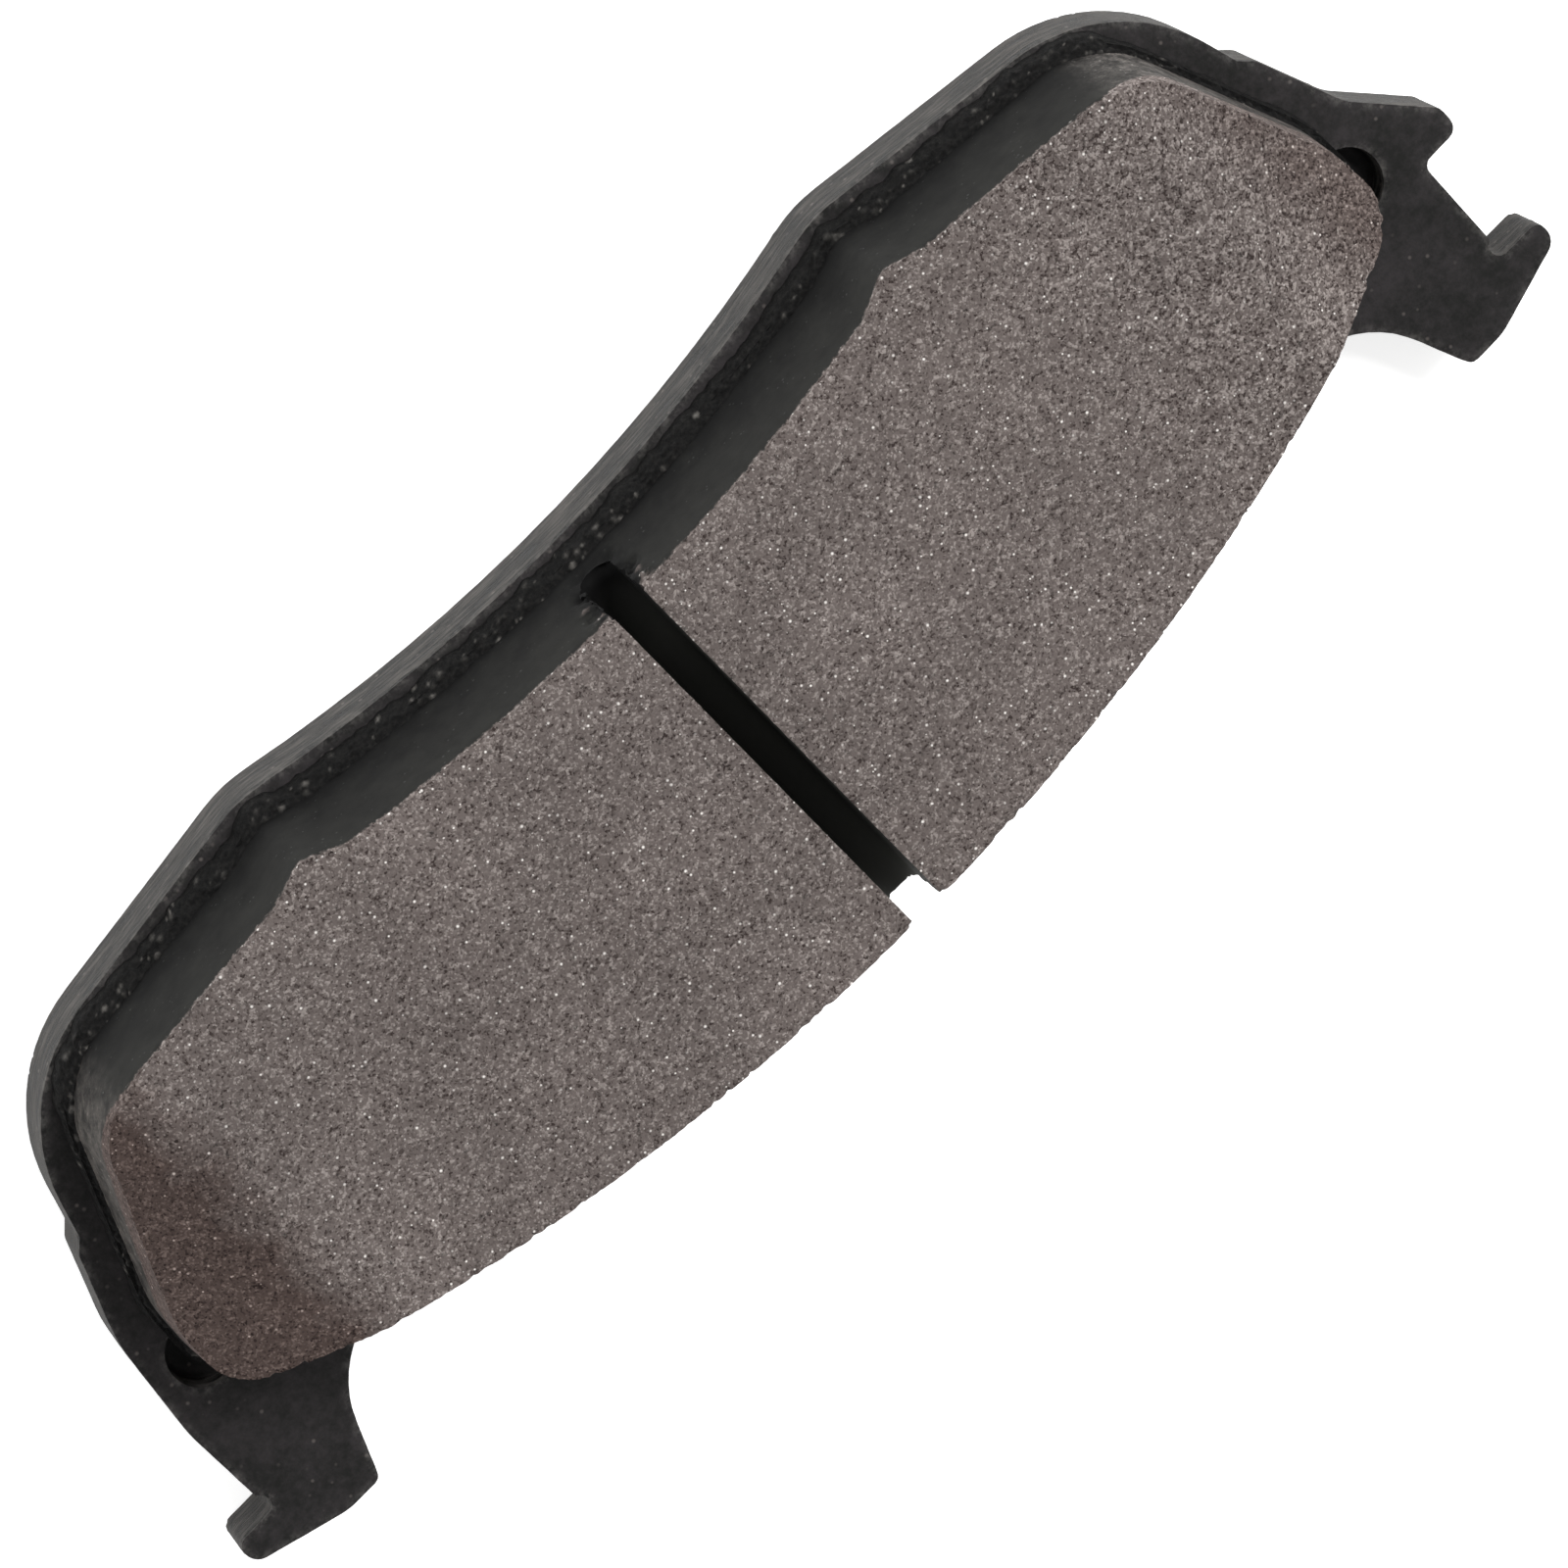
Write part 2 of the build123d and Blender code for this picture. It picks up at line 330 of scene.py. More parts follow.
    # orange peel, and shear lines down the cut edge about 0.4 mm apart
    peel = addNode(tree, "ShaderNodeTexNoise", None,
                   {"Vector": p, "Scale": 1 / look["peelSize"], "Detail": 3.0, "Roughness": 0.55})
    stretched = addNode(tree, "ShaderNodeVectorMath", {"operation": "MULTIPLY"},
                        {0: p, 1: look["shearLines"]})
    shear = addNode(tree, "ShaderNodeTexNoise", None,
                    {"Vector": stretched.outputs[0], "Scale": 1.0, "Detail": 2.0})
    shearShare = addNode(tree, "ShaderNodeMath", {"operation": "MULTIPLY"},
                         {0: shear.outputs["Fac"], 1: onWall.outputs[0]})
    grit = addNode(tree, "ShaderNodeTexNoise", None,
                   {"Vector": p, "Scale": 1 / look["gritSize"], "Detail": 2.0})
    relief = addNode(tree, "ShaderNodeMath", {"operation": "ADD"},
                     {0: peel.outputs["Fac"], 1: shearShare.outputs[0]})
    rubShare = addNode(tree, "ShaderNodeMath", {"operation": "MULTIPLY"},
                       {0: rub.outputs["Fac"], 1: onWall.outputs[0]})
    relief = addNode(tree, "ShaderNodeMath", {"operation": "MULTIPLY_ADD"},
                     {0: rubShare.outputs[0], 1: 4.0, 2: relief.outputs[0]})
    gritShare = addNode(tree, "ShaderNodeMath", {"operation": "MULTIPLY_ADD"},
                        {0: grit.outputs["Fac"], 1: 0.35, 2: relief.outputs[0]})
    bump = addNode(tree, "ShaderNodeBump", None,
                   {"Height": gritShare.outputs[0], "Strength": 0.45, "Distance": look["bump"] * mm})
    gloss = addNode(tree, "ShaderNodeMapRange", None,
                    {"Value": cloud.outputs["Fac"], "From Min": 0.3, "From Max": 0.7,
                     "To Min": look["roughness"] - 0.08, "To Max": look["roughness"] + 0.1})
    wallGloss = addNode(tree, "ShaderNodeMapRange", None,
                        {"Value": rub.outputs["Fac"], "From Min": 0.35, "From Max": 0.65,
                         "To Min": 0.45, "To Max": 0.85})
    gloss = addNode(tree, "ShaderNodeMix", {"data_type": "FLOAT"},
                    {0: onWall.outputs[0], 2: gloss.outputs[0], 3: wallGloss.outputs[0]})
    tree.links.new(colour.outputs[2], shader.inputs["Base Color"])
    tree.links.new(gloss.outputs[0], shader.inputs["Roughness"])
    tree.links.new(bump.outputs[0], shader.inputs["Normal"])
    shader.inputs["IOR"].default_value = 1.5
    shader.inputs["Specular IOR Level"].default_value = 0.2
    return material


def makePlate():
    look = plateLook
    piece = denseCopy("backing_plate", "stampedPlate", look["cell"])
    snapToEdges(piece, "backing_plate", look["cell"])
    points, normals = readPoints(piece)
    front = boxInMm("bonding_film")[0][2]
    # the die rolls the front edge over a little
    rim = sharpEdgeTree("backing_plate", lambda v: abs(v.z - front) < 0.01, 60)
    roll = np.clip(1 - distanceTo(rim, points) / look["rollWidth"], 0, 1) ** 2 * look["rollDepth"]
    points -= normals * roll[:, None]
    # edges for the rim mark, along which the coat is painted lighter: part wear, part painted highlight
    edges = sharpEdgeTree("backing_plate", lambda v: v.z > front - 1.0, 40)
    nearEdge = np.clip(1 - distanceTo(edges, points) / look["rimWidth"], 0, 1)
    # uneven coat, in waves of about 1 mm, and lumps under it
    coat = grainField(points, 1.4) * 0.015 + grainField(points, 0.8, 5.0) * 0.012
    points += normals * coat[:, None]
    tree = pointTree(points.tolist())
    for i in luck.integers(0, len(points), look["specks"]):
        size, height = luck.uniform(*look["speckSize"]), luck.uniform(0.3, 1) * look["speckHeight"]
        for _, j, away in tree.find_range(points[i].tolist(), size):
            points[j] += normals[i] * height * (1 - (away / size) ** 2) ** 2
    writePoints(piece, np.clip(points, *boxInMm("backing_plate")))
    addMarks(piece.data, "rim", nearEdge)
    piece.data.set_sharp_from_angle(angle=radians(look["sharpAngle"]))
    piece.data.materials.clear()
    piece.data.materials.append(powderCoat())
    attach(piece, "root")
    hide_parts("backing_plate")


makePlate()
print("plate made")


# Friction block, with sizes in mm.
blockLook = {
    "cell": 0.32,              # mesh grid
    "chipReach": 1.0,          # how far in from a sharp edge it has crumbled
    "chipDepth": 0.5,
    "sharpAngle": 42,          # degrees
    # broken corners, and crumbs where the depth is below 0: x, y, below the face, radius, depth
    "breakouts": [
        (-2.1, -18.5, 0.3, 1.5, 0.9),
        (2.0, -18.5, 0.0, 1.3, 0.8),
        (2.4, -18.6, 2.6, 1.4, 0.9),
        (-2.2, -18.7, 4.2, 1.5, 0.9),
        (2.0, -18.9, 6.4, 1.3, 0.8),
        (-1.2, -19.0, 8.4, 1.6, 0.9),
        (0.9, -19.1, 9.2, 1.2, 0.7),
        (-2.4, -18.5, 1.5, 0.4, -0.35),
        (-2.6, -18.6, 2.7, 0.35, -0.3),
        (2.7, -18.6, 4.0, 0.4, -0.35),
        (2.5, -18.5, 1.6, 0.4, -0.35),
        (-1.7, 18.2, 0.0, 1.0, 0.4),
        (56.0, -15.0, 0.9, 2.6, 0.45),
        (61.0, -13.4, 2.7, 3.0, 0.5),
    ],
    "reliefSize": 0.75,
    "relief": 0.035,           # on the ground face, and twice that on the chamfers
    "wallRelief": 0.012,
    "coarseGrain": 0.36,
    "coarseShare": 0.36,
    "fineGrain": 0.17,
    "tornEnd": (-36.0, -50.0),              # x where the torn grain starts, and where it is full
    "tornContrast": 1.3,
    "tornShare": 0.36,
    "tearSize": 0.4,
    "fleckSpacing": 0.5,
    "fleckWidth": (0.12, 0.34),             # as a share of the spacing
    "clusterSize": 5.0,                     # groups of flecks
    "cloudSize": 14.0,                      # slow changes of tone over the face
    "blotchSize": 3.5,
    "raggedSize": 0.6,                      # bites in the border of the skin
    "skinSize": 3.0,
    "patchSize": 1.6,                       # of the pale patches on the end walls: bare compound and painted highlight
    "darkGrain": "#322a28",
    "midGrain": "#625a57",
    "paleGrain": "#8e8682",
    "fleck": "#e8e3de",
    "fleckPatch": (-4.5, -16.6, 4.5),       # bright grains lie open here: x, y, radius
    "skin": "#040404",
    "skinLight": "#1b1b19",
    # grey of the end walls: bare compound, lightened as a painted highlight
    "bareWallAndHighlight": "#474744",
    "bareAndHighlightShare": 0.65,
    "endWallFrom": 46.0,                    # x beyond which a wall counts as an end wall
    "slotBlack": "#080808",
    "slotMiddle": "#3f3f3c",
    "slotDusty": (-17.5, -11.0),            # y where the slot's dust starts, and where it is full
    "chamferTint": "#b3a39e",
    "rightStainAndShade": (55.5, 61.0, 0.9),        # x where the tint starts, where it is full, its share; higher than on the left, as painted shade on the chamfer that faces away from the light
    "leftStain": (-61.0, -68.0, 0.6),
    "stainStray": 9.0,                      # how far blotches move that line
    "bump": 0.09,
}


def blockFacts():
    # where the face, the chamfers and the slot are, from the CAD solid, in mm
    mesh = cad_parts["friction_block"].data
    base, level = (corner[2] for corner in boxInMm("friction_block"))
    corners = [(abs(v.co.x) / mm, v.co.z / mm) for v in mesh.vertices]
    onFace = [x for x, z in corners if abs(z - level) < 0.01]
    slopes = [f.normal for f in mesh.polygons if 0.8 < f.normal.z < 0.98]
    slotHalf = min(onFace)
    slotFloor = min(z for x, z in corners if x < slotHalf - 0.1 and z > base + 0.5)
    return {
        "base": base,
        "level": level,
        "chamferStart": max(onFace),
        "slope": max(abs(n.x) / n.z for n in slopes),
        "slotHalf": slotHalf,
        "slotDepth": level - slotFloor,
    }


blockPlan = blockFacts()


def frictionCompound():
    # Resin-bonded friction compound, pressed and ground flat: matt brown-grey, speckled with
    # mineral and metal grains of 0.1 to 0.6 mm. The sides keep the smooth black skin of the
    # mould and the spray.
    material, tree, shader, p = newMaterial("frictionCompoundGround")
    look = blockLook
    coarse = addNode(tree, "ShaderNodeTexVoronoi", None,
                     {"Vector": p, "Scale": 1 / look["coarseGrain"]})
    fine = addNode(tree, "ShaderNodeTexVoronoi", None, {"Vector": p, "Scale": 1 / look["fineGrain"]})
    coarseTone = addNode(tree, "ShaderNodeSeparateColor", None, {"Color": coarse.outputs["Color"]})
    fineTone = addNode(tree, "ShaderNodeSeparateColor", None, {"Color": fine.outputs["Color"]})
    half = addNode(tree, "ShaderNodeMath", {"operation": "MULTIPLY"},
                   {0: coarseTone.outputs[0], 1: look["coarseShare"]})
    both = addNode(tree, "ShaderNodeMath", {"operation": "MULTIPLY_ADD"},
                   {0: fineTone.outputs[0], 1: 1 - look["coarseShare"], 2: half.outputs[0]})
    # the left end is torn rather than polished: coarser grains and more contrast
    axes = addNode(tree, "ShaderNodeSeparateXYZ", None, {0: p})
    tornFrom, tornFull = look["tornEnd"]
    torn = addNode(tree, "ShaderNodeMapRange", None,
                   {"Value": axes.outputs[0], "From Min": tornFrom, "From Max": tornFull,
                    "To Min": 1.0, "To Max": look["tornContrast"]})
    tornGrain = addNode(tree, "ShaderNodeMapRange", None,
                        {"Value": axes.outputs[0], "From Min": tornFrom, "From Max": tornFull,
                         "To Max": look["tornShare"]})
    tear = addNode(tree, "ShaderNodeTexNoise", None,
                   {"Vector": p, "Scale": 1 / look["tearSize"], "Detail": 3.0, "Roughness": 0.7})
    tearLow = addNode(tree, "ShaderNodeMath", {"operation": "SUBTRACT"},
                      {0: tear.outputs["Fac"], 1: 0.5})
    centred = addNode(tree, "ShaderNodeMath", {"operation": "SUBTRACT"}, {0: both.outputs[0], 1: 0.5})
    spread = addNode(tree, "ShaderNodeMath", {"operation": "MULTIPLY_ADD"},
                     {0: centred.outputs[0], 1: torn.outputs[0], 2: 0.5})
    both = addNode(tree, "ShaderNodeMath", {"operation": "MULTIPLY_ADD"},
                   {0: tearLow.outputs[0], 1: tornGrain.outputs[0], 2: spread.outputs[0]})
    grains = addNode(tree, "ShaderNodeValToRGB",
                     {"stops": [(0.08, look["darkGrain"]), (0.36, look["midGrain"]),
                                (0.62, look["midGrain"]), (0.9, look["paleGrain"])]},
                     {"Fac": both.outputs[0]})
    # bright metal and mineral flecks, 0.1 to 0.3 mm wide, in loose clusters
    flecks = addNode(tree, "ShaderNodeTexVoronoi", None,
                     {"Vector": p, "Scale": 1 / look["fleckSpacing"]})
    fleckTone = addNode(tree, "ShaderNodeSeparateColor", None, {"Color": flecks.outputs["Color"]})
    narrow, wide = look["fleckWidth"]
    fleckWide = addNode(tree, "ShaderNodeMapRange", None,
                        {"Value": fleckTone.outputs[0], "To Min": narrow, "To Max": wide})
    fleckSize = addNode(tree, "ShaderNodeMapRange", None,
                        {"Value": flecks.outputs["Distance"], "From Min": fleckWide.outputs[0],
                         "From Max": 0.1, "To Min": 0.0, "To Max": 1.0})
    cluster = addNode(tree, "ShaderNodeTexNoise", None,
                      {"Vector": p, "Scale": 1 / look["clusterSize"], "Detail": 3.0})
    fleckChance = addNode(tree, "ShaderNodeMath", {"operation": "MULTIPLY_ADD"},
                          {0: cluster.outputs["Fac"], 1: 0.5, 2: fleckTone.outputs[1]})
    rim = addNode(tree, "ShaderNodeAttribute", {"attribute_name": "rim"})
    fleckChance = addNode(tree, "ShaderNodeMath", {"operation": "MULTIPLY_ADD"},
                          {0: rim.outputs["Fac"], 1: 0.34, 2: fleckChance.outputs[0]})
    fleckPick = addNode(tree, "ShaderNodeMapRange", None,
                        {"Value": fleckChance.outputs[0], "From Min": 1.0, "From Max": 1.15})
    fleckShare = addNode(tree, "ShaderNodeMath", {"operation": "MULTIPLY"},
                         {0: fleckSize.outputs[0], 1: fleckPick.outputs[0]})
    raw = addNode(tree, "ShaderNodeMix", {"data_type": "RGBA"},
                  {0: fleckShare.outputs[0], 6: grains.outputs[0], 7: toLinear(look["fleck"])})
    cloud = addNode(tree, "ShaderNodeTexNoise", None,
                    {"Vector": p, "Scale": 1 / look["cloudSize"], "Detail": 4.0, "Roughness": 0.55})
    cloudTone = addNode(tree, "ShaderNodeMapRange", None,
                        {"Value": cloud.outputs["Fac"], "From Min": 0.3, "From Max": 0.7,
                         "To Min": 0.88, "To Max": 1.12})
    raw = addNode(tree, "ShaderNodeVectorMath", {"operation": "SCALE"},
                  {0: raw.outputs[2], "Scale": cloudTone.outputs[0]})
    # the chamfers are cut and not ground: darker, browner and blotchy; the right-hand chamfer is
    # darkened more, as painted shade where it faces away from the light
    blotch = addNode(tree, "ShaderNodeTexNoise", None,
                     {"Vector": p, "Scale": 1 / look["blotchSize"], "Detail": 5.0, "Roughness": 0.65})
    strayRight = addNode(tree, "ShaderNodeMath", {"operation": "MULTIPLY_ADD"},
                         {0: blotch.outputs["Fac"], 1: look["stainStray"], 2: axes.outputs[0]})
    # the right chamfer's larger share is painted shade, as it faces away from the light
    stainFrom, stainFull, stainShare = look["rightStainAndShade"]
    rightStainAndShadeShare = addNode(tree, "ShaderNodeMapRange", None,
                       {"Value": strayRight.outputs[0], "From Min": stainFrom, "From Max": stainFull,
                        "To Max": stainShare})
    strayLeft = addNode(tree, "ShaderNodeMath", {"operation": "MULTIPLY_ADD"},
                        {0: blotch.outputs["Fac"], 1: -look["stainStray"], 2: axes.outputs[0]})
    stainFrom, stainFull, stainShare = look["leftStain"]
    leftCut = addNode(tree, "ShaderNodeMapRange", None,
                      {"Value": strayLeft.outputs[0], "From Min": stainFrom, "From Max": stainFull,
                       "To Max": stainShare})
    cut = addNode(tree, "ShaderNodeMath", {"operation": "ADD"},
                  {0: rightStainAndShadeShare.outputs[0], 1: leftCut.outputs[0]})
    raw = addNode(tree, "ShaderNodeMix", {"data_type": "RGBA", "blend_type": "MULTIPLY"},
                  {0: cut.outputs[0], 6: raw.outputs[0], 7: toLinear(look["chamferTint"])})
    # below the ground face and the chamfers, the block has the black skin, with a ragged border
    fromMiddle = addNode(tree, "ShaderNodeMath", {"operation": "ABSOLUTE"}, {0: axes.outputs[0]})
    past = addNode(tree, "ShaderNodeMath", {"operation": "SUBTRACT"},
                   {0: fromMiddle.outputs[0], 1: blockPlan["chamferStart"]})
    past = addNode(tree, "ShaderNodeMath", {"operation": "MAXIMUM"}, {0: past.outputs[0], 1: 0.0})
    fall = addNode(tree, "ShaderNodeMath", {"operation": "MULTIPLY_ADD"},
                   {0: past.outputs[0], 1: blockPlan["slope"], 2: axes.outputs[2]})
    under = addNode(tree, "ShaderNodeMath", {"operation": "SUBTRACT"},
                    {0: blockPlan["level"], 1: fall.outputs[0]})
    ragged = addNode(tree, "ShaderNodeTexNoise", None,
                     {"Vector": p, "Scale": 1 / look["raggedSize"], "Detail": 4.0, "Roughness": 0.65})
    edgeLine = addNode(tree, "ShaderNodeMath", {"operation": "MULTIPLY_ADD"},
                       {0: ragged.outputs["Fac"], 1: -1.5, 2: under.outputs[0]})
    skinShare = addNode(tree, "ShaderNodeMapRange", None,
                        {"Value": edgeLine.outputs[0], "From Min": -0.6, "From Max": -0.3})
    crumbled = addNode(tree, "ShaderNodeAttribute", {"attribute_name": "crumbled"})
    skinLeft = addNode(tree, "ShaderNodeMath", {"operation": "SUBTRACT", "use_clamp": True},
                       {0: skinShare.outputs[0], 1: crumbled.outputs["Fac"]})
    skinCloud = addNode(tree, "ShaderNodeTexNoise", None,
                        {"Vector": p, "Scale": 1 / look["skinSize"], "Detail": 8.0, "Roughness": 0.68})
    # painted shade: the skin is darker towards the foot of the walls, where shade falls, and pales
    # towards the face
    paintedFootShade = addNode(tree, "ShaderNodeMapRange", None,
                   {"Value": axes.outputs[2], "From Min": blockPlan["base"],
                    "From Max": blockPlan["level"], "To Min": -0.25, "To Max": 0.3})
    skinTone = addNode(tree, "ShaderNodeMath", {"operation": "ADD"},
                       {0: skinCloud.outputs["Fac"], 1: paintedFootShade.outputs[0]})
    skin = addNode(tree, "ShaderNodeValToRGB",
                   {"stops": [(0.3, look["skin"]), (0.8, look["skinLight"])]},
                   {"Fac": skinTone.outputs[0]})
    # painted highlight: the end walls and their corners are lighter in patches, as where light catches
    # them, mixed with bare compound greyed by dust
    shape = addNode(tree, "ShaderNodeNewGeometry")
    facing = addNode(tree, "ShaderNodeSeparateXYZ", None, {0: shape.outputs["Normal"]})
    sideways = addNode(tree, "ShaderNodeMath", {"operation": "ABSOLUTE"}, {0: facing.outputs[0]})
    endWall = addNode(tree, "ShaderNodeMapRange", {"interpolation_type": "SMOOTHSTEP"},
                      {"Value": sideways.outputs[0], "From Min": 0.2, "From Max": 0.85})
    pastSlot = addNode(tree, "ShaderNodeMath", {"operation": "GREATER_THAN"},
                       {0: fromMiddle.outputs[0], 1: look["endWallFrom"]})
    endWall = addNode(tree, "ShaderNodeMath", {"operation": "MULTIPLY"},
                      {0: endWall.outputs[0], 1: pastSlot.outputs[0]})
    patch = addNode(tree, "ShaderNodeTexNoise", None,
                    {"Vector": p, "Scale": 1 / look["patchSize"], "Detail": 6.0, "Roughness": 0.75})
    patchTone = addNode(tree, "ShaderNodeMapRange", None,
                        {"Value": patch.outputs["Fac"], "From Min": 0.4, "From Max": 0.6,
                         "To Min": 0.15, "To Max": 1.0})
    # this share paints the end walls lighter: a painted highlight, with bare compound
    paleMarks = addNode(tree, "ShaderNodeMath", {"operation": "MULTIPLY"},
                    {0: endWall.outputs[0], 1: patchTone.outputs[0]})
    bare = addNode(tree, "ShaderNodeMix", {"data_type": "RGBA"},
                   {0: look["bareAndHighlightShare"], 6: raw.outputs[2], 7: toLinear(look["bareWallAndHighlight"])})
    skin = addNode(tree, "ShaderNodeMix", {"data_type": "RGBA"},
                   {0: paleMarks.outputs[0], 6: skin.outputs[0], 7: bare.outputs[2]})
    # the slot is black right through, with a little dust in its middle
    inSlot = addNode(tree, "ShaderNodeMath", {"operation": "LESS_THAN"},
                     {0: fromMiddle.outputs[0], 1: blockPlan["slotHalf"] + 0.25})
    aboveFloor = addNode(tree, "ShaderNodeMath", {"operation": "LESS_THAN"},
                         {0: under.outputs[0], 1: blockPlan["slotDepth"] + 0.3})
    inSlot = addNode(tree, "ShaderNodeMath", {"operation": "MULTIPLY"},
                     {0: inSlot.outputs[0], 1: aboveFloor.outputs[0]})
    dustyFrom, dustyFull = look["slotDusty"]
    inward = addNode(tree, "ShaderNodeMapRange", None,
                     {"Value": axes.outputs[1], "From Min": dustyFrom, "From Max": dustyFull})
    slotTone = addNode(tree, "ShaderNodeMix", {"data_type": "RGBA"},
                       {0: inward.outputs[0], 6: toLinear(look["slotBlack"]),
                        7: toLinear(look["slotMiddle"])})
    skin = addNode(tree, "ShaderNodeMix", {"data_type": "RGBA"},
                   {0: inSlot.outputs[0], 6: skin.outputs[2], 7: slotTone.outputs[2]})
    # and so is a ragged border round its mouths, about 1 mm wide
    border = addNode(tree, "ShaderNodeMath", {"operation": "MULTIPLY_ADD"},
                     {0: ragged.outputs["Fac"], 1: -4.0, 2: fromMiddle.outputs[0]})
    border = addNode(tree, "ShaderNodeMapRange", None,
                     {"Value": border.outputs[0], "From Min": blockPlan["slotHalf"] - 0.6,
                      "From Max": blockPlan["slotHalf"] - 1.2, "To Max": 0.8})
    belowFloor = addNode(tree, "ShaderNodeMath", {"operation": "MULTIPLY_ADD"},
                         {0: ragged.outputs["Fac"], 1: -4.0, 2: under.outputs[0]})
    nearMouth = addNode(tree, "ShaderNodeMath", {"operation": "LESS_THAN"},
                        {0: belowFloor.outputs[0], 1: blockPlan["slotDepth"] - 1.2})
    mouthShare = addNode(tree, "ShaderNodeMath", {"operation": "MULTIPLY"},
                         {0: border.outputs[0], 1: nearMouth.outputs[0]})
    notInside = addNode(tree, "ShaderNodeMath", {"operation": "SUBTRACT"},
                        {0: 1.0, 1: inSlot.outputs[0]})
    mouthShare = addNode(tree, "ShaderNodeMath", {"operation": "MULTIPLY"},
                         {0: mouthShare.outputs[0], 1: notInside.outputs[0]})
    skin = addNode(tree, "ShaderNodeMix", {"data_type": "RGBA"},
                   {0: mouthShare.outputs[0], 6: skin.outputs[2], 7: toLinear(look["skin"])})
    colour = addNode(tree, "ShaderNodeMix", {"data_type": "RGBA"},
                     {0: skinLeft.outputs[0], 6: raw.outputs[2], 7: skin.outputs[2]})
    height = addNode(tree, "ShaderNodeMath", {"operation": "MULTIPLY_ADD"},
                     {0: fine.outputs["Distance"], 1: -0.6, 2: both.outputs[0]})
    rawHeight = addNode(tree, "ShaderNodeMath", {"operation": "MULTIPLY_ADD"},
                        {0: fleckShare.outputs[0], 1: 0.5, 2: height.outputs[0]})
    skinHeight = addNode(tree, "ShaderNodeMath", {"operation": "MULTIPLY"},
                         {0: skinCloud.outputs["Fac"], 1: 0.5})
    mixed = addNode(tree, "ShaderNodeMix", {"data_type": "FLOAT"},
                    {0: skinLeft.outputs[0], 2: rawHeight.outputs[0], 3: skinHeight.outputs[0]})
    bump = addNode(tree, "ShaderNodeBump", None,
                   {"Height": mixed.outputs[0], "Strength": 0.5, "Distance": look["bump"] * mm})
    gloss = addNode(tree, "ShaderNodeMapRange", None,
                    {"Value": skinLeft.outputs[0], "To Min": 0.8, "To Max": 0.75})
    fleckGloss = addNode(tree, "ShaderNodeMath", {"operation": "MULTIPLY_ADD"},
                         {0: fleckShare.outputs[0], 1: -0.35, 2: gloss.outputs[0]})
    tree.links.new(colour.outputs[2], shader.inputs["Base Color"])
    tree.links.new(fleckGloss.outputs[0], shader.inputs["Roughness"])
    tree.links.new(bump.outputs[0], shader.inputs["Normal"])
    shader.inputs["IOR"].default_value = 1.5
    shader.inputs["Specular IOR Level"].default_value = 0.12
    return material


def makeBlock():
    look = blockLook
    piece = denseCopy("friction_block", "frictionBlock", look["cell"])
    snapToEdges(piece, "friction_block", look["cell"])
    points, normals = readPoints(piece)
    base, level, chamferStart = (blockPlan[name] for name in ("base", "level", "chamferStart"))
    # the edges of the face crumble, those of the foot are held by the underlayer
    edges = sharpEdgeTree("friction_block", lambda v: v.z > base + 3.0)
    away = distanceTo(edges, points)
    near = np.clip(1 - away / look["chipReach"], 0, 1) ** 2
    lumps = 0.8 * grainField(points, 1.4, 3.0) + 0.8 * grainField(points, 0.7, 9.0)
    chips = np.clip(lumps - 0.05, 0, 1) * near * look["chipDepth"]
    jitter = grainField(points, 0.45, 1.0) * 0.08 * np.clip(1 - away / 0.7, 0, 1)
    crumble = np.clip(grainField(points, 0.7, 4.0, 3) * 0.5 + 0.6, 0, 1)
    for x, y, below, radius, depth in look["breakouts"]:
        reach = np.linalg.norm(points - [x, y, level - below], axis=1)
        share = np.clip(1 - reach / radius, 0, 1)
        chips += depth * (share * crumble if depth > 0 else share)
    fromMiddle = np.abs(points[:, 0])
    lowered = level - blockPlan["slope"] * np.clip(fromMiddle - chamferStart, 0, None)
    onFace = (np.abs(points[:, 2] - lowered) < 0.2) & (normals[:, 2] > 0.6)
    relief = grainField(points, look["reliefSize"], 2.0, 3)
    relief *= np.where(onFace, look["relief"], look["wallRelief"])
    chamfered = onFace & (fromMiddle > chamferStart)
    relief *= np.where(chamfered, 2.0, 1.0)
    points -= normals * (chips + jitter - relief)[:, None]
    writePoints(piece, np.clip(points, *boxInMm("friction_block")))
    # marks for the material: where raw compound shows, and where bright grains lie open
    shallow = lowered - points[:, 2] < 2.0
    bare = np.where(chips > 0, np.clip(chips * 6 - 0.6, 0, 1) * shallow, np.clip(-chips * 6, 0, 0.7))
    addMarks(piece.data, "crumbled", bare)
    patchX, patchY, patchRadius = look["fleckPatch"]
    fromPatch = np.hypot(points[:, 0] - patchX, points[:, 1] - patchY)
    patch = np.clip(1.3 - fromPatch / patchRadius, 0, 1) * 0.8
    addMarks(piece.data, "rim", np.maximum(np.clip(1.4 - away / 0.6, 0, 1), patch) * onFace)
    # the underside is flat on the underlayer, so it needs no grid
    trimmed = bmesh.new()
    trimmed.from_mesh(piece.data)
    under = [f for f in trimmed.faces if all(v.co.z < (base + 0.02) * mm for v in f.verts)]
    bmesh.ops.dissolve_faces(trimmed, faces=under, use_verts=True)
    trimmed.to_mesh(piece.data)
    trimmed.free()
    piece.data.set_sharp_from_angle(angle=radians(look["sharpAngle"]))
    piece.data.materials.clear()
    piece.data.materials.append(frictionCompound())
    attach(piece, "root")
    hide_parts("friction_block")


makeBlock()
print("friction block made")


